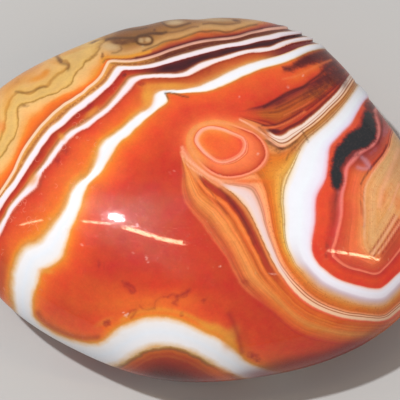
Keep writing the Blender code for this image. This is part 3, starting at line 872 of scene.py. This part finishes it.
def smooth_curve(points, closed=False, reach=STRAIGHT_REACH):
    """Closely spaced points of a smooth curve through a few, run straight on at open ends."""
    points = np.array(points, float)
    if closed:
        points = np.concatenate([points[-2:], points, points[:2]])
    steps = np.diff(points, axis=0)
    lengths = np.linalg.norm(steps, axis=1)
    slopes = steps / lengths[:, None]
    tangents = np.empty_like(points)
    tangents[0] = slopes[0]
    tangents[-1] = slopes[-1]
    before, after = lengths[:-1, None], lengths[1:, None]
    tangents[1:-1] = (slopes[:-1] * after + slopes[1:] * before) / (before + after)
    pieces = []
    for i in range(len(steps)):
        if closed and (i < 1 or i > len(steps) - 3):
            continue
        s = np.linspace(0, 1, max(2, int(lengths[i] / CURVE_STEP)), endpoint=False)[:, None]
        pieces.append(
            (2 * s ** 3 - 3 * s ** 2 + 1) * points[i]
            + (s ** 3 - 2 * s ** 2 + s) * lengths[i] * tangents[i]
            + (3 * s ** 2 - 2 * s ** 3) * points[i + 1]
            + (s ** 3 - s ** 2) * lengths[i] * tangents[i + 1]
        )
    if closed:
        return np.concatenate(pieces)
    run = np.arange(reach, 0, -STRAIGHT_STEP)[:, None]
    start = points[0] - run * slopes[0]
    end = points[-1] + run[::-1] * slopes[-1]
    return np.concatenate([start] + pieces + [points[-1:], end])


def signed_distance(places, curve, closed=False):
    """Distance from places to a curve, positive on its inner side."""
    if closed:
        curve = np.concatenate([curve[-1:], curve, curve[:2]])
    result = np.empty(len(places))
    squares = (curve ** 2).sum(1)
    for start in range(0, len(places), PLACES_AT_ONCE):
        part = places[start:start + PLACES_AT_ONCE]
        near = (squares[None] - 2 * part @ curve.T).argmin(1)
        near = np.clip(near, 1, len(curve) - 2)
        best = np.full(len(part), np.inf)
        for first in (near - 1, near):
            a = curve[first]
            step = curve[first + 1] - a
            along = ((part - a) * step).sum(1) / (step ** 2).sum(1)
            foot = a + np.clip(along, 0, 1)[:, None] * step
            best = np.minimum(best, np.linalg.norm(part - foot, axis=1))
        tangent = curve[near + 1] - curve[near - 1]
        offset = part - curve[near]
        side = tangent[:, 1] * offset[:, 0] - tangent[:, 0] * offset[:, 1]
        result[start:start + PLACES_AT_ONCE] = np.where(side < 0, -best, best)
    return result


def curve_distances(places, curves):
    """Distances from places to each of some open curves."""
    return [signed_distance(places, smooth_curve(curve)) for curve in curves]


def ring_distance(places, ring):
    """Distance from places to a ring given clockwise, positive inside it."""
    return signed_distance(places, smooth_curve(ring[::-1], closed=True), closed=True)


def band_number(distances):
    """Band coordinate: 0 on the first curve, 1 on the second and so on, even between them."""
    total = (np.minimum(distances[0], 0) + np.maximum(distances[-1], 0)) / END_BAND_WIDTH
    for near, far in zip(distances, distances[1:]):
        gap = np.maximum(near - far, SMALLEST_GAP)
        total = total + np.clip(near / gap, 0, 1)
    return total


def patch_mask(places, patches):
    """Strength of a set of soft patches at some places."""
    clear = np.ones(len(places))
    for x, y, length, width, turn, strength in patches:
        turn = math.radians(turn)
        dx, dy = (places - (x, y)).T
        along = (dx * math.cos(turn) + dy * math.sin(turn)) / length
        across = (dy * math.cos(turn) - dx * math.sin(turn)) / width
        clear *= 1 - strength * np.exp(-(along ** 2 + across ** 2) ** 1.5 * 0.9)
    return 1 - clear


def stroke_mask(places, strokes):
    """Strength of a set of fine lines at some places."""
    clear = np.ones(len(places))
    for width, strength, line in strokes:
        reach = STROKE_REACH * width
        near = ((places > np.min(line, 0) - reach) & (places < np.max(line, 0) + reach)).all(1)
        gap = signed_distance(places[near], smooth_curve(line, reach=0)) / width
        clear[near] *= 1 - strength * np.exp(-gap ** 2)
    return 1 - clear


def region_mask(places, edges):
    """How far places lie inside a region that fades in over some straight edges."""
    mask = np.ones(len(places))
    for x_share, y_share, start, full in edges:
        mask *= smooth_step(places @ (x_share, y_share), start, full)
    return mask


def relief_heights(points, normals):
    """How far the surface stands out or in along its normals, in metres."""
    places, hidden = band_places(points, normals)
    seen = smooth_step(hidden, 0.6, 0.3)
    heights = np.zeros(len(points))
    for curves, relief, edges in (
        (OUTER_CURVES, OUTER_RELIEF, OUTER_RELIEF_EDGES),
        (INNER_CURVES, INNER_RELIEF, INNER_RELIEF_EDGES),
    ):
        share = region_mask(places, edges) * seen
        near = share > 0
        bands = band_number(curve_distances(places[near], curves))
        heights[near] += share[near] * np.interp(bands, *zip(*relief))
    for x, y, radius, depth in HOLLOWS:
        heights -= depth * seen * np.exp(-((places - (x, y)) ** 2).sum(1) / radius ** 2)
    return heights


def paint_fields(skin, points, normals):
    """Store on the skin's vertices what the material needs to draw the bands."""
    places, hidden = band_places(points, normals)
    outer = curve_distances(places, OUTER_CURVES)
    inner = curve_distances(places, INNER_CURVES)
    eye = [ring_distance(places, ring) for ring in EYE_RINGS]
    fields = {
        "outer_bands": band_number(outer),
        "peach_line": outer[OUTER_CURVES.index(PEACH_LINE)],
        "tan_depth": -outer[OUTER_CURVES.index(ORANGE_BAND_EDGE)],
        "hump_depth": -outer[OUTER_CURVES.index(FOURTH_WHITE_OUTER)],
        "inner_bands": band_number(inner),
        "inside_stripes": inner[0],
        "black_patch": ring_distance(places, BLACK_PATCH),
        "eye_bands": band_number(eye),
        "inside_eye": eye[0],
        "place_x": places[:, 0],
        "place_y": places[:, 1],
    }
    for group, mask in ((REGIONS, region_mask), (PATCHES, patch_mask), (STROKES, stroke_mask)):
        for name, shapes in group.items():
            fields[name] = mask(places, shapes)
    for name, values in fields.items():
        attribute = skin.data.attributes.new(name, "FLOAT", "POINT")
        attribute.data.foreach_set("value", values.astype(np.float32))


def linear(colour):
    """Scene colour of red, green and blue from 0 to 255."""
    values = np.array(colour) / 255
    values = np.where(values <= 0.04045, values / 12.92, ((values + 0.055) / 1.055) ** 2.4)
    return tuple(float(value) for value in values) + (1.0,)


class Nodes:
    """Short calls that add shader nodes to a material."""

    def __init__(self, material):
        self.tree = material.node_tree
        self.spot = self.add("ShaderNodeTexCoord").outputs["Object"]

    def add(self, kind, inputs=(), **settings):
        """Add a node, set its properties, then fill its inputs in order."""
        node = self.tree.nodes.new(kind)
        for name, value in settings.items():
            setattr(node, name, value)
        for slot, value in enumerate(inputs):
            self.fill(node.inputs[slot], value)
        return node

    def fill(self, socket, value):
        """Link a socket to an output, or give it a value."""
        if isinstance(value, bpy.types.NodeSocket):
            self.tree.links.new(value, socket)
        else:
            socket.default_value = value

    def math(self, operation, *values):
        """One step of arithmetic."""
        return self.add("ShaderNodeMath", values, operation=operation).outputs[0]

    def times(self, first, *others):
        """Product of some numbers."""
        for other in others:
            first = self.math("MULTIPLY", first, other)
        return first

    def plus(self, base, value, factor=1.0):
        """A base number plus a value times a factor."""
        return self.math("MULTIPLY_ADD", value, factor, base)

    def field(self, name):
        """A number stored on the skin."""
        return self.add("ShaderNodeAttribute", attribute_name=name).outputs["Fac"]

    def step(self, value, low, high):
        """0 at low and 1 at high, and smooth between them."""
        node = self.add("ShaderNodeMapRange", (value, low, high), interpolation_type="SMOOTHSTEP")
        return node.outputs[0]

    def stretch(self, value, name):
        """1 along a named stretch of the bands and 0 off it, with soft ends."""
        start, full, fading, end = STRETCHES[name]
        return self.times(self.step(value, start, full), self.step(value, end, fading))

    def mix(self, factor, first, second, blend="MIX"):
        """Mix two colours."""
        node = self.add("ShaderNodeMix", data_type="RGBA", blend_type=blend)
        self.fill(node.inputs[0], factor)
        self.fill(node.inputs[6], first)
        self.fill(node.inputs[7], second)
        return node.outputs[2]

    def painted(self, colour, share, paint):
        """A colour with a share of a plain paint laid over it."""
        return self.mix(share, colour, linear(paint))

    def scaled(self, colour, factor):
        """A colour made lighter or darker by a factor."""
        return self.mix(1.0, colour, factor, "MULTIPLY")

    def noise(self, name, vector=None):
        """Named noise between 0 and 1, over the stone's surface if nothing else is given."""
        node = self.add("ShaderNodeTexNoise")
        self.fill(node.inputs["Vector"], self.spot if vector is None else vector)
        for socket, value in zip(("Scale", "Detail", "Roughness"), NOISES[name]):
            node.inputs[socket].default_value = value
        return node.outputs["Fac"]

    def sway(self, noise, amount):
        """Noise turned into a number around 0."""
        return self.times(self.math("SUBTRACT", noise, 0.5), amount)

    def bumped(self, height, distance):
        """Surface direction where the height is raised by the distance."""
        bump = self.add("ShaderNodeBump")
        bump.inputs["Strength"].default_value = BUMP_STRENGTH
        bump.inputs["Distance"].default_value = distance
        self.fill(bump.inputs["Height"], height)
        return bump.outputs[0]

    def threads(self, bands):
        """Noise drawn out along the bands, in threads across them."""
        vector = self.add("ShaderNodeCombineXYZ", (
            self.times(bands, THREAD_RATE),
            self.times(self.field("place_x"), THREAD_DRIFT),
            self.times(self.field("place_y"), THREAD_DRIFT),
        )).outputs[0]
        return self.noise("threads", vector)

    def short_ramp(self, value, stops):
        """Colour from a few stops."""
        low, high = stops[0][0], stops[-1][0]
        factor = self.add("ShaderNodeMapRange", (value, low, high)).outputs[0]
        node = self.add("ShaderNodeValToRGB", (factor,))
        elements = node.color_ramp.elements
        elements[0].color = linear(stops[0][1])
        elements[1].color = linear(stops[-1][1])
        for place, colour in stops[1:-1]:
            elements.new((place - low) / (high - low)).color = linear(colour)
        return node.outputs[0]

    def ramp(self, value, stops, most=24, longest=3.5):
        """Colour from any number of stops, in a chain of short ramps."""
        groups = [[stops[0]]]
        for stop in stops[1:]:
            group = groups[-1]
            group.append(stop)
            if len(group) >= most or stop[0] - group[0][0] > longest:
                groups.append([stop])
        if len(groups[-1]) == 1:
            groups.pop()
        colour = self.short_ramp(value, groups[0])
        for group in groups[1:]:
            past = self.math("GREATER_THAN", value, group[0][0])
            colour = self.mix(past, colour, self.short_ramp(value, group))
        return colour


def outer_colours(nodes, waver, speckle):
    """Colour of the outer bands and the main field, with painted shade along the lower rim."""
    bands = nodes.field("outer_bands")
    waver_width = nodes.add("ShaderNodeMapRange", (bands, 1.6, 2.3, 0.5, 0.16)).outputs[0]
    bands = nodes.plus(bands, waver, waver_width)
    outermost = nodes.math("LESS_THAN", bands, 3.0)
    upper_arm = nodes.mix(outermost, nodes.field("upper_arm"), nodes.field("past_kink"))
    colour = nodes.mix(upper_arm, nodes.ramp(bands, LEFT_ARM_COLOURS), nodes.ramp(bands, UPPER_ARM_COLOURS))
    darkened = nodes.times(nodes.stretch(bands, "last_gap"), nodes.field("far_right"))
    colour = nodes.painted(colour, darkened, DARK_GAP)
    tan_depth = nodes.plus(nodes.field("tan_depth"), waver, 2.5)
    is_tan = nodes.times(nodes.field("top_tan"), nodes.step(tan_depth, -0.5, 0.5))
    colour = nodes.mix(is_tan, colour, nodes.ramp(tan_depth, TOP_TAN_COLOURS, longest=40))
    peach_gap = nodes.math("ABSOLUTE", nodes.field("peach_line"))
    peach = nodes.mix(upper_arm, linear(PEACH_ON_LEFT), linear(PEACH_ABOVE))
    colour = nodes.mix(nodes.step(peach_gap, 1.9, 0.7), colour, peach)
    specks = nodes.times(nodes.step(speckle, 0.56, 0.62), nodes.stretch(bands, "first_gap"))
    specks = nodes.times(specks, nodes.plus(0.5, upper_arm, -0.45))
    colour = nodes.painted(colour, specks, GAP_SPECKS)
    # Below the white hump: its tan and orange bands, then painted shade darkening towards the lower rim
    hump_depth = nodes.plus(nodes.field("hump_depth"), waver, 5.0)
    is_hump = nodes.times(nodes.field("under_hump"), nodes.step(hump_depth, -1.5, -0.5))
    return nodes.mix(is_hump, colour, nodes.ramp(hump_depth, HUMP_COLOURS_AND_RIM_SHADE, longest=60))


def inner_colours(nodes, waver, speckle):
    """Colour of the inner bands, from the stripes to the core."""
    bands = nodes.plus(nodes.field("inner_bands"), waver, 0.06)
    outside_white = nodes.math("LESS_THAN", bands, 3.5)
    upper_share = nodes.mix(outside_white, nodes.field("upper_core"), nodes.field("upper_stripes"))
    colour = nodes.mix(
        upper_share, nodes.ramp(bands, LOWER_INNER_COLOURS), nodes.ramp(bands, UPPER_INNER_COLOURS)
    )
    corner_share = nodes.times(nodes.field("corner_stripes"), nodes.math("LESS_THAN", bands, 5.5))
    colour = nodes.mix(corner_share, colour, nodes.ramp(bands, CORNER_INNER_COLOURS))

    in_stripes = nodes.times(nodes.step(bands, 0.99, 0.93), nodes.plus(1.0, corner_share, -0.4))
    in_gold = nodes.stretch(bands, "gold")
    in_core = nodes.times(nodes.step(bands, 5.05, 5.2), nodes.plus(0.35, nodes.step(bands, 5.9, 6.2), 0.4))
    share = nodes.math("MAXIMUM", nodes.math("MAXIMUM", in_stripes, in_gold), in_core)
    colour = nodes.scaled(colour, nodes.plus(1.0, nodes.sway(nodes.threads(bands), 0.8), share))

    specks = nodes.step(speckle, 0.55, 0.64)
    colour = nodes.painted(colour, nodes.times(specks, in_gold, 0.35), GOLD_SPECKS)
    colour = nodes.painted(colour, nodes.times(specks, nodes.step(bands, 6.1, 6.4), 0.3), CORE_SPECKS)

    above_eye = nodes.times(nodes.field("above_eye"), nodes.step(bands, 0.85, 1.0))
    colour = nodes.painted(colour, above_eye, ABOVE_EYE)
    wedge_tip = nodes.times(nodes.stretch(bands, "wedge"), nodes.field("wedge_tip"))
    colour = nodes.painted(colour, wedge_tip, WEDGE_TIP)
    below_eye = nodes.times(nodes.stretch(bands, "bundle"), nodes.field("below_eye"))
    colour = nodes.painted(colour, below_eye, BELOW_EYE)

    black_edge = nodes.plus(nodes.field("black_patch"), waver, 7.0)
    black_edge = nodes.plus(black_edge, nodes.sway(speckle, 3.0))
    colour = nodes.painted(colour, nodes.step(black_edge, -4.0, 0.5), BLACK_RIM)
    black = nodes.mix(nodes.step(speckle, 0.5, 0.66), linear(BLACK), linear(BLACK_SPECKS))
    return nodes.mix(nodes.step(black_edge, -1.2, 1.6), colour, black)


def with_eye(nodes, colour, waver):
    """Colour with the eye and the halo round it laid over."""
    inside_eye = nodes.field("inside_eye")
    over_eye = nodes.math("MAXIMUM", nodes.field("left_of_eye"), nodes.field("over_eye"))
    halo = nodes.ramp(inside_eye, HALO_COLOURS, longest=30)
    colour = nodes.mix(nodes.times(over_eye, nodes.step(inside_eye, -26.0, -10.0)), colour, halo)
    eye = nodes.plus(nodes.field("eye_bands"), waver, 0.12)
    eye_colour = nodes.mix(
        nodes.field("eye_lit"), nodes.ramp(eye, EYE_GOLD_COLOURS), nodes.ramp(eye, EYE_LIT_COLOURS)
    )
    return nodes.mix(nodes.step(inside_eye, -1.2, 0.8), colour, eye_colour)


def with_marks(nodes, colour):
    """Colour with the patches and fine lines drawn over it."""
    ragged = nodes.sway(nodes.noise("ragged"), 1.5)
    for name, paint in MARK_COLOURS.items():
        strength = nodes.field(name)
        if name in RAGGED_MARKS:
            torn = nodes.step(nodes.plus(strength, ragged), 0.1, 1.1)
            torn = nodes.times(torn, nodes.step(strength, 0.02, 0.5))
            strength = nodes.times(torn, nodes.plus(0.45, strength, 0.5))
        colour = nodes.painted(colour, strength, paint)
    return colour


def with_grain(nodes, colour):
    """Colour with clouds, mottling, fine grain and curled marks in it."""
    blue = nodes.add("ShaderNodeSeparateColor", (colour,)).outputs[2]
    whiteness = nodes.step(blue, 0.22, 0.5)
    stain = nodes.math("SUBTRACT", 1.0, whiteness)
    mottle = nodes.noise("mottle")
    change = nodes.plus(nodes.sway(nodes.noise("cloud"), 0.3), nodes.sway(mottle, 0.24))
    change = nodes.plus(change, nodes.sway(nodes.noise("grain"), 0.22))
    white_shade = nodes.plus(1.0, nodes.sway(mottle, 0.08), whiteness)
    colour = nodes.scaled(colour, nodes.plus(white_shade, change, stain))

    hue = nodes.plus(0.5, nodes.sway(nodes.noise("tint"), 0.02), stain)
    colour = nodes.add("ShaderNodeHueSaturation", (hue, 1.0, 1.0, 1.0, colour)).outputs[0]

    cells = nodes.add("ShaderNodeTexVoronoi", (nodes.spot,), feature="F1")
    cells.inputs["Scale"].default_value = CURL_SCALE
    off_ring = nodes.math("ABSOLUTE", nodes.math("SUBTRACT", cells.outputs["Distance"], CURL_RADIUS))
    curls = nodes.times(
        nodes.step(off_ring, 0.07, 0.02),
        nodes.step(nodes.noise("curl_clumps"), 0.56, 0.64),
        nodes.stretch(nodes.field("outer_bands"), "curls"),
        nodes.field("curl_side"),
        stain,
        CURL_STRENGTH,
    )
    return nodes.painted(colour, curls, CURLS)


def make_agate():
    """Make the banded agate material."""
    material = bpy.data.materials.new("banded_agate")
    material.use_nodes = True
    nodes = Nodes(material)
    waver = nodes.math("SUBTRACT", nodes.noise("waver"), 0.5)
    speckle = nodes.noise("speckle")
    colour = outer_colours(nodes, waver, speckle)
    stripes_edge = nodes.plus(nodes.field("inside_stripes"), waver, 3.0)
    colour = nodes.mix(nodes.step(stripes_edge, -1.5, 1.5), colour, inner_colours(nodes, waver, speckle))
    colour = with_eye(nodes, colour, waver)
    colour = with_marks(nodes, colour)
    colour = with_grain(nodes, colour)

    gloss = nodes.step(nodes.noise("gloss"), 0.55, 0.66)
    roughness = nodes.add("ShaderNodeMapRange", (gloss, 0.0, 1.0, DULL_ROUGHNESS, GLOSSY_ROUGHNESS))
    pits = nodes.step(nodes.noise("pits"), 0.34, 0.26)
    swell = nodes.math("SUBTRACT", nodes.times(nodes.noise("swell"), 0.2), pits)
    worn = nodes.step(nodes.noise("worn"), 0.58, 0.66)
    specks = nodes.times(nodes.noise("specks"), worn)
    shader = material.node_tree.nodes["Principled BSDF"]
    nodes.fill(shader.inputs["Base Color"], colour)
    nodes.fill(shader.inputs["Roughness"], roughness.outputs[0])
    nodes.fill(shader.inputs["Normal"], nodes.bumped(swell, SWELL_HEIGHT))
    nodes.fill(shader.inputs["Coat Normal"], nodes.bumped(specks, SPECK_HEIGHT))
    for name, value in POLISH.items():
        shader.inputs[name].default_value = value
    return material


def make_floor():
    """Make the plain pale floor that the stone rests on."""
    mesh = bpy.data.meshes.new("floor")
    corners = [(x * FLOOR_REACH, y * FLOOR_REACH, 0) for x, y in ((-1, -1), (1, -1), (1, 1), (-1, 1))]
    mesh.from_pydata(corners, [], [(0, 1, 2, 3)])
    material = bpy.data.materials.new("pale_floor")
    material.use_nodes = True
    shader = material.node_tree.nodes["Principled BSDF"]
    shader.inputs["Base Color"].default_value = FLOOR_COLOUR
    shader.inputs["Roughness"].default_value = FLOOR_ROUGHNESS
    mesh.materials.append(material)
    floor = bpy.data.objects.new("floor", mesh)
    bpy.context.scene.collection.objects.link(floor)


def mirror_ray(points, normals, pixel):
    """Surface place seen at a pixel, and where the camera's view goes after its reflection."""
    towards = towards_camera(points)
    facing = (normals * towards).sum(1)
    gaps = ((picture_places(points) - pixel) ** 2).sum(1)
    gaps[facing < GRAZING] = np.inf
    index = int(gaps.argmin())
    mirrored = 2 * facing[index] * normals[index] - towards[index]
    return points[index], mirrored


def add_area_light(name, place, aim, energy, colour, width, along=None):
    """Add an area light that faces a point: a disk, or a strip that lies along a line."""
    data = bpy.data.lights.new(name, "AREA")
    data.energy = energy
    data.color = colour
    data.shape = "DISK"
    data.size = width
    place = Vector(place)
    backward = (place - Vector(aim)).normalized()
    rotation = backward.to_track_quat("Z", "Y").to_matrix()
    if along is not None:
        along = Vector(along)
        data.shape = "RECTANGLE"
        data.size = along.length
        data.size_y = width
        side = (along - along.dot(backward) * backward).normalized()
        rotation.col[0] = side
        rotation.col[1] = backward.cross(side)
        rotation.col[2] = backward
    light = bpy.data.objects.new(name, data)
    light.matrix_world = rotation.to_4x4()
    light.location = place
    bpy.context.scene.collection.objects.link(light)


def make_lights(points, normals):
    """Set up a bright lamp, thin warm strips and a dim surround."""
    aim, ray = mirror_ray(points, normals, LAMP_PIXEL)
    add_area_light("lamp", aim + LAMP_DISTANCE * ray, aim, LAMP_ENERGY, LAMP_COLOUR, LAMP_SIZE)
    for name, (first, last, width, radiance) in STRIPS.items():
        first_place, first_ray = mirror_ray(points, normals, first)
        last_place, last_ray = mirror_ray(points, normals, last)
        start = first_place + STRIP_DISTANCE * first_ray
        end = last_place + STRIP_DISTANCE * last_ray
        energy = radiance * math.pi * float(np.linalg.norm(end - start)) * width
        aim = (first_place + last_place) / 2
        add_area_light(name, (start + end) / 2, aim, energy, STRIP_COLOUR, width, end - start)
    world = bpy.data.worlds.new("studio")
    bpy.context.scene.world = world
    world.use_nodes = True
    background = world.node_tree.nodes["Background"]
    background.inputs["Color"].default_value = SURROUND_COLOUR
    background.inputs["Strength"].default_value = SURROUND_STRENGTH


def make_camera():
    """Set up the camera at the photograph's angle."""
    place, backward = camera_axes()[:2]
    data = bpy.data.cameras.new("camera")
    data.lens = CAMERA_LENS
    data.sensor_width = SENSOR_WIDTH
    data.clip_start = 0.01
    camera = bpy.data.objects.new("camera", data)
    camera.location = place
    camera.rotation_euler = Vector(backward).to_track_quat("Z", "Y").to_euler()
    bpy.context.scene.collection.objects.link(camera)
    bpy.context.scene.camera = camera


skin, points, normals = make_skin()
paint_fields(skin, points, normals)
skin.data.materials.append(make_agate())
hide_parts("agate_stone")
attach(skin, "root")
make_floor()
make_lights(points, normals)
make_camera()
bpy.context.scene.view_settings.view_transform = "Standard"
